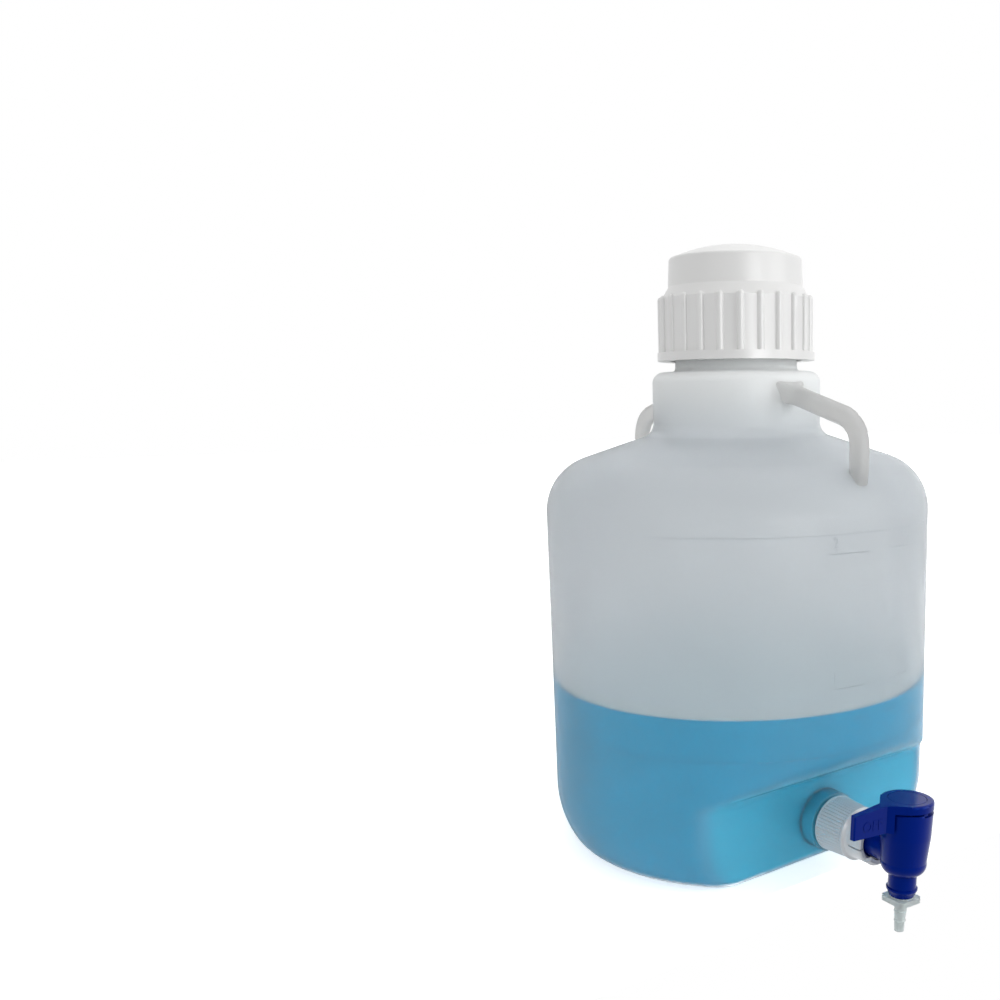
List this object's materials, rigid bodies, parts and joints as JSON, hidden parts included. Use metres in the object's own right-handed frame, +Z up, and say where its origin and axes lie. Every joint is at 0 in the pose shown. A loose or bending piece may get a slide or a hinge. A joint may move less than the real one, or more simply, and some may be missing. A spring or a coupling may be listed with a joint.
{
  "type": "carboy with spigot",
  "caption": "Translucent blow-moulded carboy with handles, a ribbed screw cap, blue contents and a quarter-turn tap in a recess at its foot.",
  "frame": {"origin": "centre of the plane the bottle stands on, on the bottle's axis", "axes": "+Z up along the bottle's axis, the spigot points along -Y, both handles lie in the YZ plane, and the shut tap's lever points along -X"},
  "size_m": [0.25, 0.2951, 0.4052],
  "materials": {
    "bottle_plastic": "translucent natural polyethylene, satin",
    "blue_water": "clear blue liquid",
    "cap_plastic": "white satin polypropylene",
    "liner_foam": "white closed-cell foam liner",
    "collar_plastic": "off-white satin polypropylene",
    "seal_rubber": "black elastomer",
    "tap_blue": "glossy royal blue",
    "plug_plastic": "natural smooth plastic",
    "barb_plastic": "natural translucent plastic"
  },
  "bodies": {
    "bottle": {"carboy_body": "bottle_plastic", "liquid": "blue_water"},
    "liner_lift": {"cap_liner": "liner_foam"},
    "cap": {"cap": "cap_plastic"},
    "gasket_slide": {"spigot_gasket": "seal_rubber"},
    "collar": {"spigot_collar": "collar_plastic"},
    "tap": {"tap_body": "tap_blue", "inlet_seal": "seal_rubber"},
    "lever": {"tap_lever": "tap_blue", "lever_cover": "tap_blue", "tap_plug": "plug_plastic", "plug_seal": "seal_rubber"},
    "barb": {"hose_barb": "barb_plastic"}
  },
  "joints": [
    {"name": "cap_lift", "type": "slide", "parent": "bottle", "child": "liner_lift", "axis": [0, 0, 1], "range_m": [0, 0.06]},
    {"name": "cap_turn", "type": "hinge", "parent": "liner_lift", "child": "cap", "pos_m": [0, 0, 0.366], "axis": [0, 0, 1], "range_deg": [0, 2700]},
    {"name": "collar_travel", "type": "slide", "parent": "bottle", "child": "gasket_slide", "axis": [0, -1, 0], "range_m": [0, 0.015]},
    {"name": "collar_turn", "type": "hinge", "parent": "gasket_slide", "child": "collar", "pos_m": [0, -0.12, 0.0269], "axis": [0, -1, 0], "range_deg": [0, 1800]},
    {"name": "tap_swivel", "type": "hinge", "parent": "gasket_slide", "child": "tap", "pos_m": [0, -0.1544, 0.0269], "axis": [0, -1, 0], "continuous": true},
    {"name": "lever_turn", "type": "hinge", "parent": "tap", "child": "lever", "pos_m": [0, -0.1544, 0.0269], "axis": [0.061, 0, 0.9981], "range_deg": [0, 90]},
    {"name": "barb_pull", "type": "slide", "parent": "tap", "child": "barb", "axis": [-0.061, 0, -0.9981], "range_m": [0, 0.012]}
  ],
  "couplings": [
    {"joint": "cap_lift", "follows": "cap_turn", "m_per_rad": 0.0012732},
    {"joint": "collar_turn", "follows": "collar_travel", "rad_per_m": 2094.4}
  ]
}
